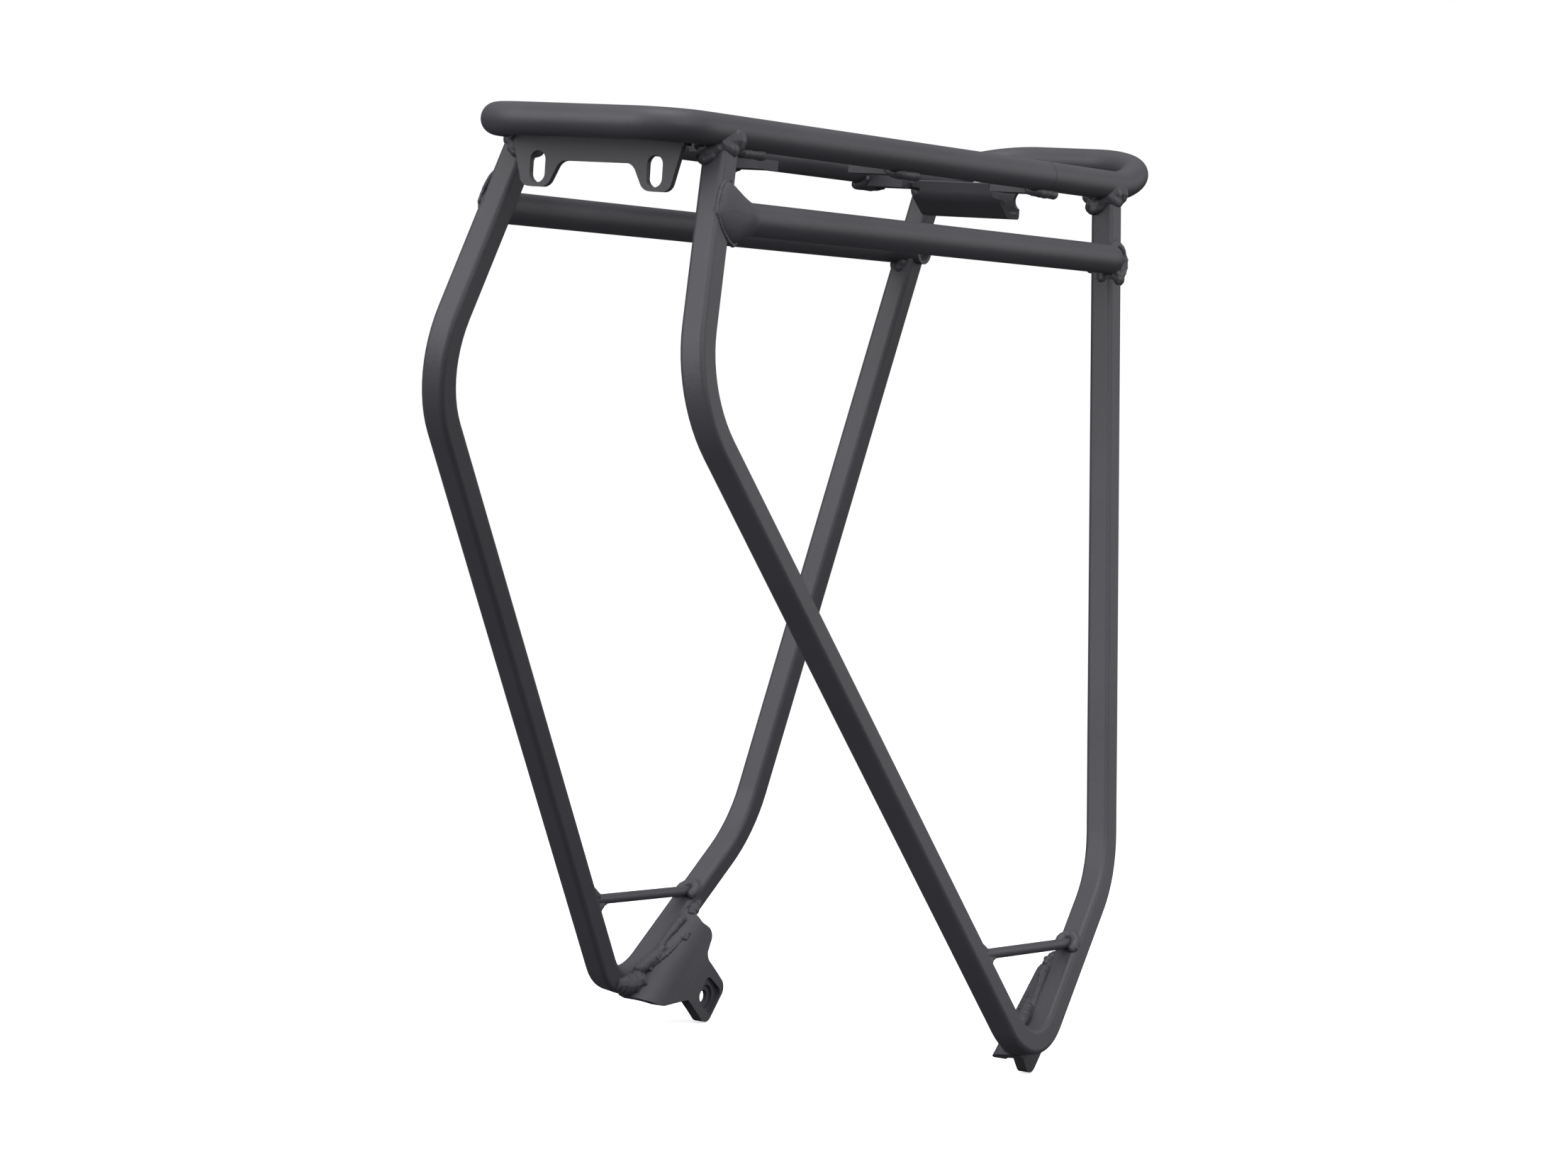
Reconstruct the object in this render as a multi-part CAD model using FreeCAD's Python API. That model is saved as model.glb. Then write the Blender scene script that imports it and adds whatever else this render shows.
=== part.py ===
"""Rigid bicycle rear carrier, welded from aluminium tube.

Frame: +X towards the front wheel, +Y to the rider's left, +Z up, in millimetres. The origin is midway
between the two dropout eyelets, on the line through both. Every height is measured from that line.
"""

import FreeCAD
import Part
import math
import os

V = FreeCAD.Vector
X_AXIS = V(1, 0, 0)
Y_AXIS = V(0, 1, 0)
SIDES = {"left": 1, "right": -1}

# Top loop: round tube bent into a long flat ring whose front end kicks up.
TUBE_R = 6.0
TUBE_WALL = 1.5
LOOP_Z = 347.0
LOOP_HALF_WIDTH = 41.8
LOOP_REAR_X = -253.5
LOOP_FRONT_X = 130.5
REAR_CORNER_R = 18.0
FRONT_CORNER_R = 28.0
KICK_START_X = 97.0
KICK_RISE = 11.0
KICK_BEND_R = 45.0
SEAM_X = 29.0
SEAM_BEAD = 1.6
SEAM_PROUD = 0.12

# Side frames: one square tube each, bent in a plane that splays outwards on its way down.
LEG = 10.0
LEG_CORNER_R = 2.0
LEG_WALL = 1.5
SPLAY = 0.157
LEG_TOP_Y = 41.3
SIDE_PATH = [(-220.0, 0.0), (-254.0, -94.0), (-39.0, -349.5), (36.0, -279.0), (86.0, 0.0)]
SIDE_BENDS = [44.0, 23.0, 50.0]

# Pannier rails: round tube outside the legs, a little below the loop.
RAIL_DROP = 31.0
RAIL_Y = 52.5
RAIL_REAR_X = -219.5
RAIL_BEND_X = 68.0
RAIL_BEND_R = 12.0
# Pressed rear end, widening on to the leg's outer face. Each oval across X is (x, how far its middle is
# outside the leg's middle plane, half thickness, half height, how far its middle is above the rail).
RAIL_FLARE = [
    (-217.6, 6.26, 5.6, 5.6, 0.0),
    (-220.5, 6.1, 6.2, 6.8, 0.1),
    (-223.8, 5.3, 5.8, 8.9, 0.9),
    (-227.0, 4.2, 5.0, 11.2, 2.2),
    (-231.0, 4.0, 3.3, 9.6, 2.6),
    (-234.0, 4.0, 2.0, 5.2, 1.8),
    (-236.2, 4.0, 1.3, 1.6, 1.2),
]

# Foot struts: a thin rod across each V, above the foot.
STRUT_R = 2.1
STRUT_REAR = (-75.0, -302.7)
STRUT_FRONT = (3.0, -304.3)

# Foot brackets: curved plate along the front limb of each V, ending in the eyelet. The section's points
# are (distance square to the limb, distance from the carrier's middle).
LIMB = V(75.0, 0, 70.5).normalize()
PLATE_INBOARD = [
    (-4.6, 93), (-4.3, 87), (-3, 83), (-1.3, 80), (1, 78), (5, 77), (12, 75.8), (24, 74.3), (44, 74.25),
]
PLATE_OUTBOARD = [
    (0, 93), (0.3, 88), (1.3, 84.8), (3.2, 82.7), (6, 81.6), (12, 80.4), (24, 78.8), (44, 78.75),
]
EYELET_INNER_Y = 74.25
EYELET_HOLE_R = 2.75
COUNTERBORE_R = 5.0
COUNTERBORE_DEPTH = 1.0
RECESS = 12.6
RECESS_CENTRE = (0.9, 0.5)
RECESS_CORNER_R = 3.0
RECESS_DEPTH = 1.6
RECESS_TURN = 37.0

# Rear lamp bracket: plate between the loop's side tubes, with two upright slots.
LAMP_X = -237.0
LAMP_T = 2.5
LAMP_TOP_HALF = 36.0
LAMP_EAR_HALF = 31.5
LAMP_SHOULDER_DROP = 7.0
LAMP_BOTTOM_DROP = 23.4
LAMP_RECESS_DROP = 13.7
LAMP_EAR_INNER = 18.5
LAMP_SPACING = 50.0
SLOT_WIDTH = 6.6
SLOT_LENGTH = 11.5
SLOT_DROP = 16.2

# Deck tabs: three pairs of flat bars that point inwards from the loop.
TAB_REAR_X = [-208.6, -93.0, 22.6]
TAB_WIDTH = 16.0
TAB_T = 4.0
TAB_TOP_DROP = 3.2
TAB_INNER_Y = 20.4

# Bridge: bent trough across the front pair of tabs.
BRIDGE_HALF = 20.0
BRIDGE_T = 2.0
BRIDGE_REAR_X = 38.7
BRIDGE_FRONT_X = 50.5
BRIDGE_TOP_DROP = 3.6
BRIDGE_BOTTOM_DROP = 17.4

BEAD = 2.0


def tangent_arc(before, corner, after, radius):
    """The arc that rounds a corner, as its start, middle and end."""
    back = (before - corner).normalize()
    ahead = (after - corner).normalize()
    half = back.getAngle(ahead) / 2
    reach = radius / math.tan(half)
    start = corner + back * reach
    end = corner + ahead * reach
    inward = (back + ahead).normalize()
    middle = corner + inward * (radius / math.sin(half) - radius)
    return start, middle, end


def rounded_path(points, radii):
    """A wire of lines and tangent arcs through points, with one radius per inner point."""
    edges = []
    here = points[0]
    for i, radius in enumerate(radii, start=1):
        start, middle, end = tangent_arc(points[i - 1], points[i], points[i + 1], radius)
        edges.append(Part.makeLine(here, start))
        edges.append(Part.Arc(start, middle, end).toShape())
        here = end
    edges.append(Part.makeLine(here, points[-1]))
    return Part.Wire(edges)


def rounded_outline(points, radii):
    """A closed face on a flat loop of points, each corner rounded by its own radius."""
    count = len(points)
    arcs = [tangent_arc(points[i - 1], points[i], points[(i + 1) % count], radii[i]) for i in range(count)]
    edges = []
    for i, (start, middle, end) in enumerate(arcs):
        edges.append(Part.Arc(start, middle, end).toShape())
        following = arcs[(i + 1) % count][0]
        if end.distanceToPoint(following) > 1e-6:
            edges.append(Part.makeLine(end, following))
    return Part.Face(Part.Wire(edges))


def circle_profile(path, radius):
    """A circle square to the start of a path."""
    first = path.OrderedEdges[0]
    at = first.valueAt(first.FirstParameter)
    return Part.Wire(Part.makeCircle(radius, at, first.tangentAt(first.FirstParameter)))


def square_profile(path, size, corner, normal):
    """A rounded square at the start of a flat path that lies square to normal."""
    first = path.OrderedEdges[0]
    at = first.valueAt(first.FirstParameter)
    across = normal.cross(first.tangentAt(first.FirstParameter)).normalize()
    half = size / 2
    signs = ((1, 1), (-1, 1), (-1, -1), (1, -1))
    corners = [at + across * (half * i) + normal * (half * j) for i, j in signs]
    return rounded_outline(corners, [corner] * 4).OuterWire


def sweep(path, profile):
    return path.makePipeShell([profile], True, False)


def round_rod(path, radius):
    return sweep(path, circle_profile(path, radius))


def round_tube(path):
    return round_rod(path, TUBE_R).cut(round_rod(path, TUBE_R - TUBE_WALL))


def loop_path():
    """Right seam round the rear to the left seam, then the front from the right seam to the left."""
    half = LOOP_HALF_WIDTH
    front_z = LOOP_Z + KICK_RISE
    rear = rounded_path(
        [
            V(SEAM_X, -half, LOOP_Z),
            V(LOOP_REAR_X, -half, LOOP_Z),
            V(LOOP_REAR_X, half, LOOP_Z),
            V(SEAM_X, half, LOOP_Z),
        ],
        [REAR_CORNER_R] * 2,
    )
    front = rounded_path(
        [
            V(SEAM_X, -half, LOOP_Z),
            V(KICK_START_X, -half, LOOP_Z),
            V(LOOP_FRONT_X, -half, front_z),
            V(LOOP_FRONT_X, half, front_z),
            V(KICK_START_X, half, LOOP_Z),
            V(SEAM_X, half, LOOP_Z),
        ],
        [KICK_BEND_R, FRONT_CORNER_R, FRONT_CORNER_R, KICK_BEND_R],
    )
    return rear, front


def splay_placement(side):
    """Turns a shape drawn in the XZ plane into the side frame's leaning plane."""
    lean = math.degrees(math.atan(SPLAY)) * side
    turn = FreeCAD.Rotation(X_AXIS, lean)
    return FreeCAD.Placement(V(0, LEG_TOP_Y * side, LOOP_Z), turn)


def in_side_plane(side, shape):
    moved = shape.copy()
    moved.Placement = splay_placement(side).multiply(moved.Placement)
    return moved


def plane_point(x, drop):
    """A point of the side frame's plane before it leans: drop is the true height below the loop."""
    return V(x, 0, -drop * math.hypot(1, SPLAY))


def side_path():
    return rounded_path([plane_point(x, -z) for x, z in SIDE_PATH], SIDE_BENDS)


def leg_sweep(side, size, corner):
    path = side_path()
    return in_side_plane(side, sweep(path, square_profile(path, size, corner, Y_AXIS)))


def rail_path(side):
    y = RAIL_Y * side
    z = LOOP_Z - RAIL_DROP
    turned = V(RAIL_BEND_X + RAIL_BEND_R, y - RAIL_BEND_R * 0.7 * side, z)
    corner = V(RAIL_BEND_X + RAIL_BEND_R, y, z)
    start = V(RAIL_REAR_X, y, z)
    return rounded_path([start, corner, turned - V(0, RAIL_BEND_R * 0.4 * side, 0)], [RAIL_BEND_R])


def rail_axis_drop():
    """Depth of the rail's middle below the loop, along the side frame's leaning plane."""
    lean = math.atan(SPLAY)
    return RAIL_DROP * math.cos(lean) + (RAIL_Y - LEG_TOP_Y) * math.sin(lean)


def oval(x, middle, half_y, half_z):
    """A closed curve across X, round where both halves are equal."""
    points = []
    for step in range(24):
        angle = math.radians(15 * step)
        points.append(V(x, middle.y + half_y * math.cos(angle), middle.z + half_z * math.sin(angle)))
    curve = Part.BSplineCurve()
    curve.interpolate(points, PeriodicFlag=True)
    return Part.Wire(curve.toShape())


def rail_flare(grow=0.0):
    """The left rail's solid pressed end. grow thickens it evenly, to size its weld."""
    ovals = []
    for x, out, half_y, half_z, rise in RAIL_FLARE:
        middle = V(0, out, rise - rail_axis_drop())
        ovals.append(oval(x, middle, half_y + grow, half_z + grow))
    return in_side_plane(1, Part.makeLoft(ovals, True, False))


def strut_path(side):
    rear, front = (plane_point(x, -z) for x, z in (STRUT_REAR, STRUT_FRONT))
    return in_side_plane(side, Part.Wire(Part.makeLine(rear, front)))


def plate_section(grow=0.0):
    """Section of the left foot plate, square to the front limb in side view, at the V's own corner.

    Its inboard face leaves the leg steeply, turns over a ridge and eases down to the eyelet's upright face.
    """
    foot_x, foot_z = SIDE_PATH[2]
    base = V(foot_x, 0, LOOP_Z + foot_z)
    down = V(LIMB.z, 0, -LIMB.x)
    curves = []
    for points, outwards in ((PLATE_INBOARD, -grow), (PLATE_OUTBOARD, grow)):
        spline = Part.BSplineCurve()
        spline.interpolate([base + down * (n + outwards) + V(0, y + outwards, 0) for n, y in points])
        curves.append(spline.toShape())
    inner, outer = curves
    ends = [Part.makeLine(inner.Vertexes[i].Point, outer.Vertexes[i].Point) for i in (0, 1)]
    return Part.Face(Part.Wire([inner, ends[1], outer, ends[0]]))


def plate_outline():
    """Side view of the foot plate: V corner, lower edge, round eyelet head, notch and upper tip."""
    corners = [
        (-50, 6, 2), (-31, -1.4, 8), (-14.2, 0, 1.2), (-1.4, -12.4, 5), (12.9, 3.4, 4.5),
        (-0.9, 16.8, 4), (5, 27, 4), (-2.2, 31, 2.5), (-3.5, 37, 1), (-45, 22, 6),
    ]
    face = rounded_outline([V(x, 60, z) for x, z, _ in corners], [r for _, _, r in corners])
    return face.extrude(V(0, 45, 0))


def mirror(shape):
    return shape.mirror(V(0, 0, 0), Y_AXIS)


def foot_plate_blank(grow=0.0):
    section = plate_section(grow)
    section.translate(LIMB * -40)
    return section.extrude(LIMB * 140).common(plate_outline())


def foot_bracket():
    """The left foot bracket, with its eyelet recessed from the inboard side."""
    plate = foot_plate_blank()
    inboard = EYELET_INNER_Y - 4.0
    half = RECESS / 2
    signs = ((1, 1), (-1, 1), (-1, -1), (1, -1))
    square = [V(half * i, inboard, half * j) for i, j in signs]
    pocket = rounded_outline(square, [RECESS_CORNER_R] * 4)
    pocket.rotate(V(0, 0, 0), Y_AXIS, RECESS_TURN)
    pocket.translate(V(RECESS_CENTRE[0], 0, RECESS_CENTRE[1]))
    depth = EYELET_INNER_Y + RECESS_DEPTH - inboard
    counterbore = Part.makeCylinder(COUNTERBORE_R, depth + COUNTERBORE_DEPTH, V(0, inboard, 0), Y_AXIS)
    hole = Part.makeCylinder(EYELET_HOLE_R, 40, V(0, inboard, 0), Y_AXIS)
    return plate.cut(pocket.extrude(V(0, depth, 0))).cut(counterbore).cut(hole)


def lamp_bracket():
    top = LOOP_Z
    shoulder = LOOP_Z - LAMP_SHOULDER_DROP
    bottom = LOOP_Z - LAMP_BOTTOM_DROP
    recess = LOOP_Z - LAMP_RECESS_DROP
    inner_foot = LAMP_EAR_INNER + 2.0
    recess_half = LAMP_EAR_INNER - 3.0
    half = [
        (LAMP_TOP_HALF, top, 0.5),
        (LAMP_TOP_HALF, shoulder, 2.0),
        (LAMP_EAR_HALF, bottom, 4.0),
        (inner_foot, bottom, 4.5),
        (recess_half, recess, 4.5),
    ]
    points = [V(LAMP_X - LAMP_T / 2, y, z) for y, z, _ in half]
    points += [V(LAMP_X - LAMP_T / 2, -y, z) for y, z, _ in reversed(half)]
    radii = [r for _, _, r in half]
    plate = rounded_outline(points, radii + radii[::-1]).extrude(V(LAMP_T, 0, 0))
    for side in SIDES.values():
        plate = plate.cut(upright_slot(LAMP_SPACING / 2 * side))
    return plate


def upright_slot(y):
    """A round-ended slot through the lamp bracket, running up and down."""
    z = LOOP_Z - SLOT_DROP
    reach = (SLOT_LENGTH - SLOT_WIDTH) / 2
    start_x = LAMP_X - LAMP_T
    slot = Part.makeBox(2 * LAMP_T, SLOT_WIDTH, 2 * reach, V(start_x, y - SLOT_WIDTH / 2, z - reach))
    for end in (-reach, reach):
        slot = slot.fuse(Part.makeCylinder(SLOT_WIDTH / 2, 2 * LAMP_T, V(start_x, y, z + end), X_AXIS))
    return slot


def deck_tab(rear_x, side, grow=0.0):
    """A flat bar from the loop's side tube inwards. grow thickens it evenly, to size its weld."""
    top = LOOP_Z - TAB_TOP_DROP + grow
    outer = LOOP_HALF_WIDTH
    inner = TAB_INNER_Y
    size = V(TAB_WIDTH + 2 * grow, outer - inner, TAB_T + 2 * grow)
    low_y = inner if side > 0 else -outer
    return Part.makeBox(size.x, size.y, size.z, V(rear_x - grow, low_y, top - size.z))


def bridge_section(inset):
    """Closed outline of the trough in side view, pulled in by inset."""
    top = LOOP_Z - BRIDGE_TOP_DROP
    low = LOOP_Z - BRIDGE_BOTTOM_DROP + inset
    rear = BRIDGE_REAR_X + inset
    front = BRIDGE_FRONT_X - inset
    points = [
        V(rear - 9, -BRIDGE_HALF, top + inset),
        V(rear - 7.5, -BRIDGE_HALF, low + 7),
        V(rear + 2, -BRIDGE_HALF, low),
        V(front, -BRIDGE_HALF, low),
        V(front, -BRIDGE_HALF, top + inset),
    ]
    return rounded_outline(points, [0.4, 7.0, 5.0, 1.5, 0.4])


def bridge():
    """Open-topped trough; the rear wall is scooped at its ends and the front wall has a shallow bite."""
    length = V(0, 2 * BRIDGE_HALF, 0)
    trough = bridge_section(0).extrude(length).cut(bridge_section(BRIDGE_T).extrude(length))
    trough = trough.common(half_space_below(LOOP_Z - BRIDGE_TOP_DROP))
    top = LOOP_Z - BRIDGE_TOP_DROP
    for side in SIDES.values():
        scoop_start = V(BRIDGE_REAR_X - 14, (BRIDGE_HALF + 0.5) * side, top - 2)
        bite_start = V(BRIDGE_FRONT_X - 4, (BRIDGE_HALF + 2) * side, top - 6)
        trough = trough.cut(Part.makeCylinder(4.5, 16, scoop_start, X_AXIS))
        trough = trough.cut(Part.makeCylinder(4.0, 8, bite_start, X_AXIS))
    return trough


def half_space_below(z):
    return Part.makeBox(1000, 1000, 1000, V(-500, -500, z - 1000))


def bead_between(grown_a, grown_b, solids):
    """The metal laid where two grown shapes meet, outside every finished solid."""
    bead = grown_a.common(grown_b)
    for solid in solids:
        bead = bead.cut(solid)
    return clean(bead)


def clean(shape):
    """Drops slivers that a cut leaves behind."""
    solids = [s for s in shape.Solids if s.Volume > 0.5]
    return Part.makeCompound(solids)


def build():
    rear_path, front_path = loop_path()
    loop_full = round_rod(rear_path, TUBE_R).fuse(round_rod(front_path, TUBE_R))
    loop_grown = round_rod(rear_path, TUBE_R + BEAD).fuse(round_rod(front_path, TUBE_R + BEAD))
    nodes = {
        "loop_rear_tube": round_tube(rear_path),
        "loop_front_tube": round_tube(front_path),
    }
    seams = []
    for side in SIDES.values():
        start = V(SEAM_X - SEAM_BEAD / 2, LOOP_HALF_WIDTH * side, LOOP_Z)
        ring = Part.makeCylinder(TUBE_R + SEAM_PROUD, SEAM_BEAD, start, X_AXIS)
        seams.append(ring.cut(loop_full))
    nodes["loop_seam_welds"] = Part.makeCompound(seams)

    lamp = lamp_bracket().cut(loop_full)
    nodes["lamp_bracket"] = lamp
    lamp_grown = lamp_slab(BEAD * 0.7)
    nodes["lamp_bracket_welds"] = bead_between(lamp_grown, loop_grown, [lamp, loop_full, lamp_slab(0)])

    tabs = {}
    tab_beads = []
    for side_name, side in SIDES.items():
        for number, rear_x in enumerate(TAB_REAR_X, start=1):
            tab = deck_tab(rear_x, side).cut(loop_full)
            tabs[f"deck_tab_{side_name}_{number}"] = tab
            tab_beads.append(bead_between(deck_tab(rear_x, side, 1.5), loop_grown, [tab, loop_full]))
    nodes.update(tabs)
    nodes["deck_tab_welds"] = Part.makeCompound([s for bead in tab_beads for s in bead.Solids])

    front_tabs = [tabs["deck_tab_left_3"], tabs["deck_tab_right_3"]]
    trough = bridge()
    nodes["bridge"] = trough
    bridge_grown = bridge_section(-1.0).extrude(V(0, 2 * BRIDGE_HALF + 2, 0)).translated(V(0, -1, 0))
    beads = []
    for tab in front_tabs:
        box = tab.BoundBox
        corner = V(box.XMin, box.YMin - 1.5, box.ZMin + 0.5)
        tab_grown = Part.makeBox(box.XLength, box.YLength + 3, box.ZLength - 1, corner)
        beads += bead_between(tab_grown, bridge_grown, [trough, loop_full] + front_tabs).Solids
    nodes["bridge_welds"] = Part.makeCompound(beads)

    for side_name, side in SIDES.items():
        leg_full = leg_sweep(side, LEG, LEG_CORNER_R)
        leg_grown = leg_sweep(side, LEG + 2 * BEAD, LEG_CORNER_R + BEAD)
        leg_bore = leg_sweep(side, LEG - 2 * LEG_WALL, LEG_CORNER_R - LEG_WALL + 0.3)
        side_frame = leg_full.cut(leg_bore).cut(loop_full)
        nodes[f"side_frame_{side_name}"] = side_frame
        solid_leg = leg_full.cut(loop_full)
        neighbours = [leg_full, loop_full] + list(tabs.values())
        nodes[f"leg_top_welds_{side_name}"] = bead_between(leg_grown, loop_grown, neighbours)

        path = rail_path(side)
        flare = rail_flare()
        flare_grown = rail_flare(BEAD * 0.6)
        if side < 0:
            flare, flare_grown = mirror(flare), mirror(flare_grown)
        nodes[f"pannier_rail_{side_name}"] = round_tube(path).fuse(flare).cut(solid_leg)
        rail_full = round_rod(path, TUBE_R)
        front_bead = bead_between(round_rod(path, TUBE_R + BEAD), leg_grown, [rail_full, leg_full])
        rear_bead = bead_between(flare_grown, leg_grown, [flare, rail_full, leg_full])
        nodes[f"pannier_rail_welds_{side_name}"] = Part.makeCompound(front_bead.Solids + rear_bead.Solids)

        strut_line = strut_path(side)
        strut_full = round_rod(strut_line, STRUT_R)
        nodes[f"foot_strut_{side_name}"] = strut_full.cut(leg_full)
        strut_beads = bead_between(round_rod(strut_line, STRUT_R + BEAD), leg_grown, [strut_full, leg_full])

        bracket = foot_bracket()
        blank = foot_plate_blank()
        blank_grown = foot_plate_blank(BEAD)
        if side < 0:
            bracket, blank, blank_grown = mirror(bracket), mirror(blank), mirror(blank_grown)
        bracket = bracket.cut(leg_full)
        nodes[f"foot_bracket_{side_name}"] = bracket
        nodes[f"foot_strut_welds_{side_name}"] = clean(strut_beads.cut(blank))
        plate_beads = bead_between(blank_grown, leg_grown, [blank, leg_full, strut_full])
        nodes[f"foot_bracket_welds_{side_name}"] = clean(plate_beads.cut(strut_beads))
    return nodes


def lamp_slab(grow):
    """The lamp bracket's upper strip, thickened evenly to size its weld."""
    half = LAMP_TOP_HALF + grow
    low = LOOP_Z - LAMP_SHOULDER_DROP - grow
    thick = LAMP_T + 2 * grow
    return Part.makeBox(thick, 2 * half, LOOP_Z + grow - low, V(LAMP_X - thick / 2, -half, low))


os.makedirs("parts", exist_ok=True)
for name, shape in build().items():
    shape.exportStep(f"parts/{name}.step")
    print(name, len(shape.Solids), round(shape.Volume), shape.isValid())
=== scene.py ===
import math
import random
import bpy
from mathutils import Matrix, Vector


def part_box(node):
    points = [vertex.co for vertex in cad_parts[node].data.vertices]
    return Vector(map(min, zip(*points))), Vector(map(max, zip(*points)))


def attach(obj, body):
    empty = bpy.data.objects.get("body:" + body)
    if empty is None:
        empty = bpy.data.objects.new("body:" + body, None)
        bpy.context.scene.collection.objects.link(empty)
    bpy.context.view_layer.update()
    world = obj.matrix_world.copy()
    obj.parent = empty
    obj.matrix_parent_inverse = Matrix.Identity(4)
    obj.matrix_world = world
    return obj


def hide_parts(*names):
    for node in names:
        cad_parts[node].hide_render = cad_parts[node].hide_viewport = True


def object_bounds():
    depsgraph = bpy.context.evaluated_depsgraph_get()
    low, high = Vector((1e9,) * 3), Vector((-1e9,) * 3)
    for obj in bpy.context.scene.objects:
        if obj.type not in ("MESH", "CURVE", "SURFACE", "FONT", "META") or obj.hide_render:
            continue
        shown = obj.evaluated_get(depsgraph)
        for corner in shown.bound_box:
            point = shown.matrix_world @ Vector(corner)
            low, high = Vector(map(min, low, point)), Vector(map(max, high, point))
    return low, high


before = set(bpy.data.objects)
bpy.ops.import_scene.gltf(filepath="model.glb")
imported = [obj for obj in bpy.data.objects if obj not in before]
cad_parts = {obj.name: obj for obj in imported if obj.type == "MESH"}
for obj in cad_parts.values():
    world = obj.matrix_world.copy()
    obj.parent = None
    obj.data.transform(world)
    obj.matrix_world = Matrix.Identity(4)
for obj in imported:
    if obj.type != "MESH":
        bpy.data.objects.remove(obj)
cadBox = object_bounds()
print("frame loaded:", len(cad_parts), "nodes")

camera = {
    "place": (-1.5851, -0.8801, 0.2732),
    "heading": 30.42,   # degrees from +X towards +Y
    "tilt": -3.13,
    "roll": 3.71,
    "lens": 102.83,
    "sensor": 36.0,
    "farClip": 50,
}


def aimCamera(settings):
    heading = math.radians(settings["heading"])
    tilt = math.radians(settings["tilt"])
    roll = math.radians(settings["roll"])
    ahead = Vector((math.cos(tilt) * math.cos(heading), math.cos(tilt) * math.sin(heading), math.sin(tilt)))
    level = Vector((math.sin(heading), -math.cos(heading), 0))
    upright = level.cross(ahead)
    right = level * math.cos(roll) + upright * math.sin(roll)
    up = upright * math.cos(roll) - level * math.sin(roll)
    lens = bpy.data.cameras.new("camera")
    lens.lens = settings["lens"]
    lens.sensor_width = settings["sensor"]
    lens.clip_end = settings["farClip"]
    eye = bpy.data.objects.new("camera", lens)
    turn = Matrix((right, up, -ahead)).transposed().to_4x4()
    eye.matrix_world = Matrix.Translation(settings["place"]) @ turn
    bpy.context.scene.collection.objects.link(eye)
    bpy.context.scene.camera = eye


aimCamera(camera)
print("camera set")


class Reading:  # one output socket, so that shader sums read as ordinary expressions
    def __init__(self, builder, socket):
        self.builder = builder
        self.socket = socket

    def sum(self, operation, first, second):
        return self.builder.node("ShaderNodeMath", {"operation": operation}, {0: first, 1: second})

    def __add__(self, other):
        return self.sum("ADD", self, other)

    def __radd__(self, other):
        return self.sum("ADD", other, self)

    def __sub__(self, other):
        return self.sum("SUBTRACT", self, other)

    def __rsub__(self, other):
        return self.sum("SUBTRACT", other, self)

    def __mul__(self, other):
        return self.sum("MULTIPLY", self, other)

    def __rmul__(self, other):
        return self.sum("MULTIPLY", other, self)


class Builder:  # adds nodes to the tree of a material or of the sky
    def __init__(self, tree):
        self.tree = tree

    def node(self, kind, settings, values, output=0):
        made = self.tree.nodes.new(kind)
        for name, value in settings.items():
            if name == "stops":
                self.setStops(made.color_ramp.elements, value)
            else:
                setattr(made, name, value)
        for name, value in values.items():
            self.feed(made.inputs[name], value)
        return Reading(self, made.outputs[output])

    def setStops(self, ramp, stops):
        for number, (at, shade) in enumerate(stops):
            entry = ramp[number] if number < len(ramp) else ramp.new(at)
            entry.position = at
            entry.color = shade

    def feed(self, socket, value):
        if isinstance(value, Reading):
            self.tree.links.new(value.socket, socket)
        else:
            socket.default_value = value


class Finish(Builder):  # a material
    def __init__(self, name):
        self.material = bpy.data.materials.new(name)
        self.material.use_nodes = True
        super().__init__(self.material.node_tree)
        self.shader = self.tree.nodes["Principled BSDF"]
        self.place = self.node("ShaderNodeTexCoord", {}, {}, output="Object")

    def noise(self, scale, detail=2.0, roughness=0.5):
        values = {"Vector": self.place, "Scale": scale, "Detail": detail, "Roughness": roughness}
        return self.node("ShaderNodeTexNoise", {}, values)

    def mix(self, share, first, second):  # of two colours; the sockets of a colour mix are 0, 6 and 7
        return self.node("ShaderNodeMix", {"data_type": "RGBA"}, {0: share, 6: first, 7: second}, 2)

    def shade(self, **values):
        for name, value in values.items():
            self.feed(self.shader.inputs[name.replace("_", " ")], value)


coat = {
    "deep": (0.042, 0.0418, 0.0475, 1),
    "pale": (0.056, 0.0555, 0.0630, 1),
    "spread": (0.35, 0.68),      # where the deep shade ends and the pale one starts
    "cloud": (14.0, 3.0, 0.55),  # scale, detail and roughness of each noise
    "peel": (620.0, 1.5, 0.45),
    "grain": (2600.0, 2.0, 0.6),
    "cloudInColour": 0.75,       # the grain makes up the rest
    "cloudInGloss": 0.4,
    "peelDepth": 0.00006,
    "grainDepth": 0.000018,
    "roughness": 0.50,
    "roughnessSpread": 0.10,
    "refraction": 1.42,
}


def powderCoat(name, settings):
    finish = Finish(name)
    cloud, peel, grain = (finish.noise(*settings[key]) for key in ("cloud", "peel", "grain"))
    inColour, inGloss = settings["cloudInColour"], settings["cloudInGloss"]
    stops = list(zip(settings["spread"], (settings["deep"], settings["pale"])))
    mottle = cloud * inColour + grain * (1 - inColour)
    colour = finish.node("ShaderNodeValToRGB", {"stops": stops}, {"Fac": mottle})
    spread = settings["roughnessSpread"]
    rough = settings["roughness"] - spread / 2 + (cloud * inGloss + grain * (1 - inGloss)) * spread
    height = peel * settings["peelDepth"] + grain * settings["grainDepth"]
    relief = finish.node("ShaderNodeBump", {}, {"Strength": 1.0, "Distance": 1.0, "Height": height}, "Normal")
    finish.shade(Base_Color=colour, Roughness=rough, Normal=relief, IOR=settings["refraction"], Metallic=0.0)
    return finish.material


bareCoat = powderCoat("powderCoat", coat)
weldCoat = powderCoat("weldCoat", {**coat, "roughness": 0.46, "peel": (900.0, 1.5, 0.45)})
print("finishes made")


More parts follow.
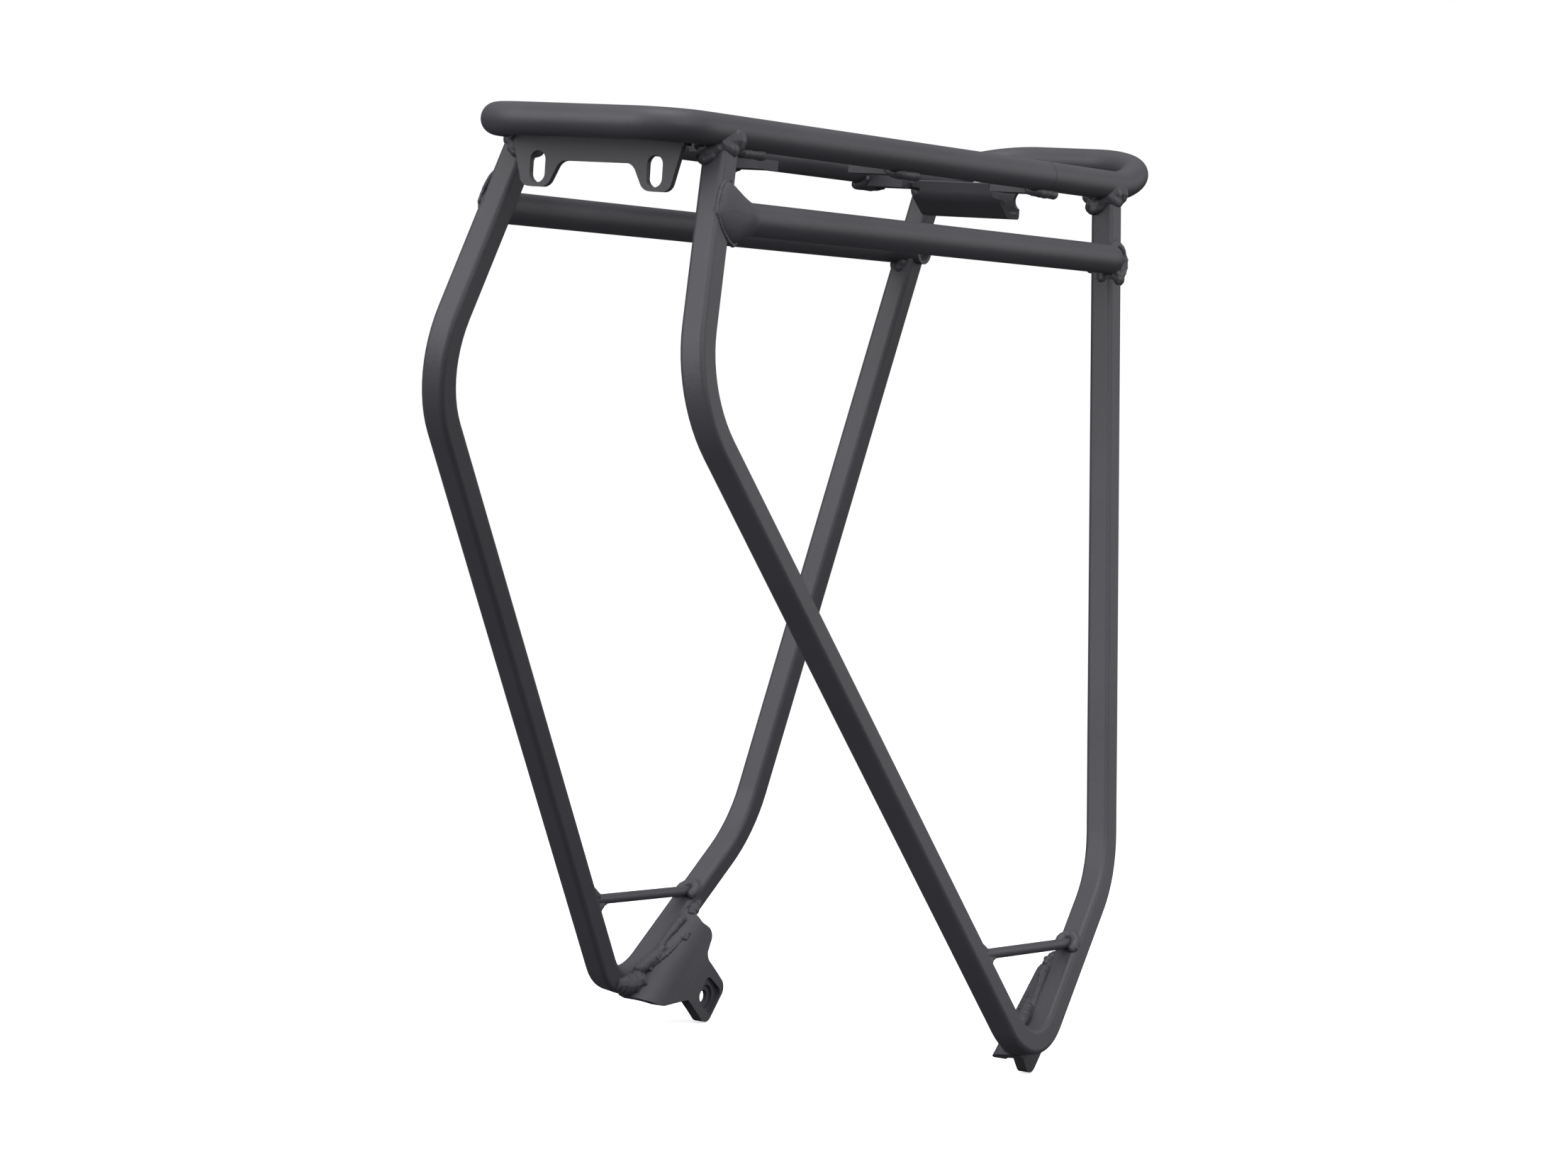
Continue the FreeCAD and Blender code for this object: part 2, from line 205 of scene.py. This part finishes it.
def dressNode(name, material):
    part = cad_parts[name]
    part.data.materials.clear()
    part.data.materials.append(material)


for nodeName in sorted(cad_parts):
    dressNode(nodeName, weldCoat if "welds" in nodeName else bareCoat)
print("nodes dressed")

# the welds are given in millimetres, in the CAD's own frame
millimetre = 0.001
sides = {"left": 1, "right": -1}
carrier = {
    "loopHeight": 347.0,
    "legTop": 41.3,     # from the middle plane to a leg's middle, at the loop
    "splay": 0.157,     # sideways lean for each millimetre of drop
    "railHeight": 316.0,
    "footCorner": (-39.0, -2.5),
    "footLimb": (0.7286, 0.6849),
}
drop = {
    "segments": 12,
    "rings": 8,
    "uneven": (0.93, 1.07),   # each drop's size, against its run's
    "easing": 0.5,            # how far the smoothing moves a point at each pass
}


def sidePoint(side, x, height, outwards):  # outwards is measured from the leg's middle
    legMiddle = carrier["legTop"] + carrier["splay"] * (carrier["loopHeight"] - height)
    return Vector((x, side * (legMiddle + outwards), height))


def platePoint(side, along, below, y):  # along the foot plate's limb, and square to it
    corner, limb = carrier["footCorner"], carrier["footLimb"]
    x = corner[0] + along * limb[0] + below * limb[1]
    height = corner[1] + along * limb[1] - below * limb[0]
    return Vector((x, side * y, height))


def routed(run, place):  # gives a run its line; the last number of each of its points is a radius
    line = [(place(*spot), radius) for *spot, radius in run["points"]]
    return {**run, "line": line + line[:1] if run.get("closed") else line}


def walk(line, pitch):  # even steps along a line of (point, radius) pairs
    spots = []
    left = 0.0
    for (start, startRadius), (end, endRadius) in zip(line, line[1:]):
        length = (end - start).length
        while left <= length:
            share = left / length
            radius = startRadius + (endRadius - startRadius) * share
            spots.append((start.lerp(end, share), (end - start).normalized(), radius))
            left += pitch
        left -= length
    return spots


def addDrop(spot, ahead, radius, flat):  # one squashed drop of weld metal
    turn = ahead.to_track_quat("Z", "Y").to_euler()
    bpy.ops.mesh.primitive_uv_sphere_add(
        segments=drop["segments"],
        ring_count=drop["rings"],
        radius=radius * millimetre,
        location=spot * millimetre,
        rotation=turn,
        scale=(1, 1, flat),
    )


def layRun(run, settings, chance):  # a run's own pitch and flat come before its bead's
    bpy.ops.object.select_all(action="DESELECT")
    pitch, flat = (run.get(key, settings[key]) for key in ("pitch", "flat"))
    for number, (spot, ahead, radius) in enumerate(walk(run["line"], pitch)):
        stray = Vector([chance.uniform(-1, 1) for axis in range(3)]) * settings["stray"]
        addDrop(spot + stray, ahead, radius * chance.uniform(*drop["uneven"]), flat)
        if number == 0:
            bpy.ops.object.transform_apply(location=True, rotation=True, scale=True)
            bpy.ops.object.mode_set(mode="EDIT")
    bpy.ops.object.mode_set(mode="OBJECT")
    return bpy.context.object


def layBead(name, node, runs, settings):
    chance = random.Random(name)
    laid = [layRun(run, settings, chance) for run in runs]
    bpy.ops.object.select_all(action="DESELECT")
    for piece in laid:
        piece.select_set(True)
    bead = laid[0]
    bpy.context.view_layer.objects.active = bead
    bpy.ops.object.join()
    bead.name = name
    melt = bead.modifiers.new("melt", "REMESH")
    melt.mode = "VOXEL"
    melt.voxel_size = settings["voxel"] * millimetre
    bpy.ops.object.modifier_apply(modifier="melt")
    settle = bead.modifiers.new("settle", "SMOOTH")
    settle.factor = drop["easing"]
    settle.iterations = settings["settle"]
    bpy.ops.object.modifier_apply(modifier="settle")
    bpy.ops.object.shade_smooth()
    bead.data.materials.clear()
    bead.data.materials.append(weldCoat)
    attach(bead, "root")
    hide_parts(node)
    print(name, "laid in", len(runs), "runs,", len(bead.data.polygons), "faces")


# legs: X at the loop, and how far back each one runs for a millimetre of drop
# points: X from the leg's middle, distance from the middle plane, height, radius
legTopBead = {
    "legs": {-220.0: 0.36, 86.0: 0.18},
    "ring": {"closed": True, "points": [
        (-4.6, 45.6, 342.0, 2.4), (-4.9, 43.4, 339.6, 2.8), (-5.0, 40.8, 338.4, 2.8),
        (-4.4, 38.6, 337.8, 3.0), (-2.8, 37.6, 337.4, 3.2), (0.0, 37.4, 337.4, 3.3),
        (2.8, 37.6, 337.6, 3.2), (4.4, 38.8, 338.2, 2.9), (4.9, 41.0, 339.0, 2.6),
        (4.9, 43.4, 340.2, 2.5), (4.6, 45.6, 342.0, 2.4),
    ]},
    "cap": {"pitch": 1.25, "flat": 0.56, "points": [
        (-4.2, 43.6, 342.8, 4.4), (-1.6, 43.6, 343.4, 5.5), (2.4, 43.8, 343.8, 5.8), (6.0, 43.4, 343.6, 5.2),
    ]},
    "apron": {"flat": 0.8, "points": [
        (-3.6, 45.0, 341.0, 3.5), (0.0, 45.0, 340.2, 3.9), (3.8, 45.0, 341.0, 3.6),
    ]},
    "wedge": {"flat": 0.8, "points": [
        (-3.4, 35.2, 341.4, 2.6), (0.0, 34.9, 341.4, 2.8), (3.4, 35.2, 341.4, 2.6),
    ]},
    "knob": {"flat": 0.8, "points": [
        (-5.6, 43.0, 337.4, 1.7), (-5.9, 41.0, 336.2, 2.0), (-5.8, 39.2, 335.6, 1.6),
    ]},
    "pitch": 1.3,
    "flat": 0.7,
    "stray": 0.08,
    "voxel": 0.4,
    "settle": 8,
}


def legTopRuns(side, settings):
    runs = []
    for top, rake in settings["legs"].items():

        def place(x, y, height):
            return Vector((top - rake * (carrier["loopHeight"] - height) + x, side * y, height))

        runs += [routed(settings[key], place) for key in ("ring", "cap", "apron", "wedge", "knob")]
    return runs


def ringPoints(reach, radius, count):
    turns = [math.radians(360 / count * step) for step in range(count)]
    return [(reach * math.sin(turn), reach * math.cos(turn), radius) for turn in turns]


# points: X from startX, height over the rail's middle, radius; out is measured from the leg's middle
railBead = {
    "ring": {"startX": 80.4, "out": 4.9, "closed": True, "points": ringPoints(reach=6.3, radius=2.1, count=16)},
    "drip": {"startX": 80.4, "out": 3.2, "points": [
        (-4.6, -6.6, 2.8), (-2.0, -7.6, 3.5), (1.6, -7.8, 3.5), (4.4, -6.4, 2.8),
    ]},
    "heel": {"startX": 80.4, "out": 0.5, "pitch": 1.0, "flat": 0.9, "points": [
        (-4.6, -9.8, 1.8), (-4.8, -7.8, 2.8), (-4.6, -5.2, 3.0),
    ]},
    "seam": {"startX": 0.0, "out": 4.9, "pitch": 0.5, "flat": 1.0, "points": [
        (-225.6, 13.4, 0.8), (-229.0, 13.0, 0.9), (-232.0, 10.6, 0.9), (-234.6, 6.4, 0.8), (-236.2, 1.6, 0.7),
        (-233.8, -4.0, 0.8), (-230.4, -8.0, 0.9), (-227.4, -9.8, 0.9), (-224.6, -9.0, 0.8),
    ]},
    "web": {"startX": 0.0, "out": 3.4, "pitch": 0.8, "flat": 0.8, "points": [
        (-225.4, 12.4, 1.9), (-223.6, 10.0, 1.9), (-221.4, 8.0, 1.5), (-218.6, 6.4, 0.9),
    ]},
    "pitch": 1.4,
    "flat": 0.68,
    "stray": 0.1,
    "voxel": 0.36,
    "settle": 6,
}


def railRuns(side, settings):
    runs = []
    for key in ("ring", "drip", "heel", "seam", "web"):
        run = settings[key]

        def place(x, up):
            return sidePoint(side, run["startX"] + x, carrier["railHeight"] + up, run["out"])

        runs.append(routed(run, place))
    return runs


# points: X, height, distance out from the leg's middle, radius
strutBead = {
    "front": (1.6, 42.7),
    "frontReach": (4.6, 3.6),   # along the limb and across it
    "frontRadius": 2.1,
    "gap": 50,                  # degrees left open under the rod, where the torch doesn't reach
    "ringStep": 10,
    "skirt": {"pitch": 1.8, "flat": 0.5, "points": [
        (4.6, 38.0, -4.0, 2.4), (1.4, 36.4, -5.2, 2.9), (-1.6, 35.2, -6.6, 2.9), (-3.2, 33.4, -7.4, 2.3),
    ]},
    "under": {"pitch": 0.6, "flat": 0.9, "points": [
        (-65.6, 31.2, 0, 0.9), (-67.4, 34.6, 0, 2.0), (-68.6, 38.2, 0, 3.0),
        (-67.6, 41.0, 0, 2.9), (-64.4, 42.2, 0, 2.1), (-60.8, 43.2, 0, 1.5),
    ]},
    "over": {"pitch": 0.6, "flat": 0.9, "points": [
        (-76.8, 51.6, 0, 1.0), (-74.4, 48.6, 0, 2.2), (-71.4, 46.4, 0, 2.5), (-68.0, 45.4, 0, 1.8),
    ]},
    "pitch": 1.3,
    "flat": 0.7,
    "stray": 0.1,
    "voxel": 0.36,
    "settle": 5,
}


def strutRuns(side, settings):
    x, height = settings["front"]
    along, across = settings["frontReach"]
    limb = carrier["footLimb"]
    gap, step = settings["gap"], settings["ringStep"]
    ring = []
    for turn in range(gap, 360 - gap + 1, step):  # 0 points down the limb
        down = -along * math.cos(math.radians(turn))
        out = across * math.sin(math.radians(turn))
        spot = sidePoint(side, x + down * limb[0], height + down * limb[1], out)
        ring.append((spot, settings["frontRadius"]))

    def onLeg(*spot):
        return sidePoint(side, *spot)

    return [{"line": ring}] + [routed(settings[key], onLeg) for key in ("skirt", "under", "over")]


plateBead = {
    # points: along the limb, below its middle line, distance from the middle plane, radius
    "edge": {"points": [
        (6, -3.9, 89.8, 1.7), (20, -3.9, 88.4, 1.7), (36, -3.9, 86.4, 1.7), (48, -3.8, 84.6, 2.3),
    ]},
    "spatter": {"points": [
        (19, -4.4, 85.8, 1.0), (24, -3.7, 84.2, 1.1), (30, -2.7, 82.4, 1.0),
        (36, -2.0, 81.2, 0.8), (41, -1.4, 80.3, 0.6),
    ]},
    "outer": {"points": [(22, 4.3, 91.6, 1.2), (32, 4.3, 90.4, 1.3), (44, 4.2, 88.8, 1.1)]},
    # points: X, height, distance from the middle plane, radius
    "corner": {"pitch": 2.15, "flat": 0.45, "points": [
        (-46.0, 7.6, 90.8, 3.4), (-42.5, 6.8, 90.0, 4.3), (-38.0, 6.8, 89.2, 4.7),
        (-33.5, 7.6, 88.4, 4.7), (-30.0, 9.4, 87.8, 3.8),
    ]},
    "inside": {"flat": 0.6, "points": [
        (-34.0, 12.6, 88.4, 2.4), (-29.0, 15.2, 87.4, 2.8),
        (-24.0, 18.0, 86.2, 2.6), (-20.0, 21.4, 85.4, 1.8),
    ]},
    "specks": 26,               # stray beads round the spatter's points, placed within these limits
    "speckAlong": (-3.5, 3.5),
    "speckBelow": (-0.3, 0.5),
    "speckOut": (-0.9, 0.9),
    "speckRadius": (0.35, 0.75),
    "speckTail": (0.3, 0, 0.2),
    "speckRun": {"pitch": 1.0, "flat": 0.9},
    "pitch": 1.15,
    "flat": 0.55,
    "stray": 0.14,
    "voxel": 0.36,
    "settle": 4,
}


def plateRuns(side, settings):
    def onLimb(*spot):
        return platePoint(side, *spot)

    def atFoot(x, height, y):
        return Vector((x, side * y, height))

    runs = [routed(settings[key], onLimb) for key in ("edge", "spatter", "outer")]
    runs += [routed(settings[key], atFoot) for key in ("corner", "inside")]
    chance = random.Random("specks" + str(side))
    for speck in range(settings["specks"]):
        along, below, y = chance.choice(settings["spatter"]["points"])[:3]
        along += chance.uniform(*settings["speckAlong"])
        below += chance.uniform(*settings["speckBelow"])
        spot = platePoint(side, along, below, y + chance.uniform(*settings["speckOut"]))
        radius = chance.uniform(*settings["speckRadius"])
        line = [(spot, radius), (spot + Vector(settings["speckTail"]), radius)]
        runs.append({**settings["speckRun"], "line": line})
    return runs


# points: distance from the middle plane, height, radius
tabBead = {
    "width": 16.0,
    "inset": 0.6,    # of the long beads, from the tab's edges
    "outset": 0.2,   # of the end beads, past them
    "under": (42.2, 340.2, 2.3),
    "over": (36.0, 344.4, 1.6),
    "end": [(36.8, 342.6, 1.5), (39.0, 340.4, 1.8), (42.0, 340.0, 2.0)],
    "pitch": 1.5,
    "flat": 0.75,
    "stray": 0.1,
    "voxel": 0.42,
    "settle": 7,
}


def tabRuns(settings):
    runs = []
    inset, outset = settings["inset"], settings["outset"]
    for number in (1, 2, 3):
        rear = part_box("deck_tab_left_%d" % number)[0][0] * 1000   # in millimetres
        front = rear + settings["width"]
        for side in sides.values():
            for key in ("under", "over"):
                y, height, radius = settings[key]
                line = [(Vector((x, side * y, height)), radius) for x in (rear + inset, front - inset)]
                runs.append({"line": line})
            for x in (rear - outset, front + outset):
                line = [(Vector((x, side * y, height)), radius) for y, height, radius in settings["end"]]
                runs.append({"line": line})
    return runs


for sideName, side in sides.items():
    layBead("legTopBead_" + sideName, "leg_top_welds_" + sideName, legTopRuns(side, legTopBead), legTopBead)
    layBead("railBead_" + sideName, "pannier_rail_welds_" + sideName, railRuns(side, railBead), railBead)
    layBead("strutBead_" + sideName, "foot_strut_welds_" + sideName, strutRuns(side, strutBead), strutBead)
    layBead("plateBead_" + sideName, "foot_bracket_welds_" + sideName, plateRuns(side, plateBead), plateBead)
layBead("tabBead", "deck_tab_welds", tabRuns(tabBead), tabBead)
print("welds laid")

studio = {
    "floorDrop": 0.0005,
    "floorHalf": 30.0,
    "floorShade": (0.86, 0.86, 0.865, 1),
    "floorBounce": (0.10, 0.10, 0.11, 1),   # what the floor looks like to the carrier
    "floorGlow": 0.62,
    "floorRoughness": 0.95,
    "floorMottle": 0.05,
    "mottleScale": 3.0,
    "fade": (0.5, 1.6),                     # metres from the middle over which the floor turns to plain white
    "skyWhite": 1.0,
    "skyAim": (-0.50, -0.32, 0.80),         # towards the brightest part
    "skyShades": [
        (0.0, (0.035, 0.035, 0.040, 1)),
        (0.33, (0.13, 0.13, 0.14, 1)),
        (0.56, (0.50, 0.50, 0.525, 1)),
        (1.0, (1.0, 1.0, 1.04, 1)),
    ],
    "aim": (-0.05, 0, 0.2),
    "softBoxes": {                          # place, width and height, watts
        "keySoftbox": ((-1.75, 0.75, 0.85), (1.3, 1.7), 24),
        "overheadSoftbox": ((-0.3, -0.3, 1.8), (1.1, 1.1), 13),
        "frontSoftbox": ((1.3, -1.05, 0.45), (1.0, 1.2), 5),
        "rightSoftbox": ((-0.6, -1.7, 1.0), (1.0, 1.0), 8),
    },
}


def layFloor(settings):
    low = cadBox[0][2] - settings["floorDrop"]
    bpy.ops.object.select_all(action="DESELECT")
    bpy.ops.mesh.primitive_plane_add(size=2 * settings["floorHalf"], location=(0, 0, low))
    floor = bpy.context.object
    floor.name = "studioFloor"
    paper = Finish("floorPaper")
    rays = paper.node("ShaderNodeLightPath", {}, {}, "Is Camera Ray")
    mottle = paper.noise(settings["mottleScale"])
    reach = paper.node("ShaderNodeVectorMath", {"operation": "LENGTH"}, {0: paper.place}, "Value")
    near, far = settings["fade"]
    away = paper.node("ShaderNodeMapRange", {}, {"Value": reach, "From Min": near, "From Max": far})
    glow = rays * (settings["floorGlow"] + away * (1 - settings["floorGlow"]))
    shade = paper.mix(rays, settings["floorBounce"], settings["floorShade"])
    paper.shade(
        Base_Color=paper.mix(away, shade, (0, 0, 0, 1)),
        Roughness=settings["floorRoughness"] - mottle * settings["floorMottle"],
        Specular_IOR_Level=0.0,
        Emission_Color=glow,
        Emission_Strength=1.0,
    )
    floor.data.materials.append(paper.material)


def hangSky(settings):  # plain white to the camera, and a soft pale side and a dark one to the carrier
    world = bpy.data.worlds.new("studioSky")
    world.use_nodes = True
    sky = Builder(world.node_tree)
    background = world.node_tree.nodes["Background"]
    ahead = sky.node("ShaderNodeTexCoord", {}, {}, "Generated")
    towards = {0: ahead, 1: settings["skyAim"]}
    rise = sky.node("ShaderNodeVectorMath", {"operation": "DOT_PRODUCT"}, towards, "Value")
    share = sky.node("ShaderNodeMapRange", {}, {"Value": rise, "From Min": -1})
    shades = sky.node("ShaderNodeValToRGB", {"stops": settings["skyShades"]}, {"Fac": share})
    sky.feed(background.inputs["Color"], shades)
    shaded = Reading(sky, background.outputs[0])
    white = sky.node("ShaderNodeBackground", {}, {"Color": (1, 1, 1, 1), "Strength": settings["skyWhite"]})
    rays = sky.node("ShaderNodeLightPath", {}, {}, "Is Camera Ray")
    pick = sky.node("ShaderNodeMixShader", {}, {0: rays, 1: shaded, 2: white})
    sky.feed(world.node_tree.nodes["World Output"].inputs["Surface"], pick)
    bpy.context.scene.world = world
    bpy.context.scene.view_settings.view_transform = "Standard"


def hangSoftBox(name, place, size, power, aim):
    light = bpy.data.lights.new(name, "AREA")
    light.shape = "RECTANGLE"
    light.size, light.size_y = size
    light.energy = power
    lamp = bpy.data.objects.new(name, light)
    lamp.location = place
    lamp.visible_camera = False
    lamp.rotation_euler = (Vector(aim) - Vector(place)).to_track_quat("-Z", "Y").to_euler()
    bpy.context.scene.collection.objects.link(lamp)


layFloor(studio)
hangSky(studio)
for boxName, (place, size, power) in studio["softBoxes"].items():
    hangSoftBox(boxName, place, size, power, studio["aim"])
print("studio ready")
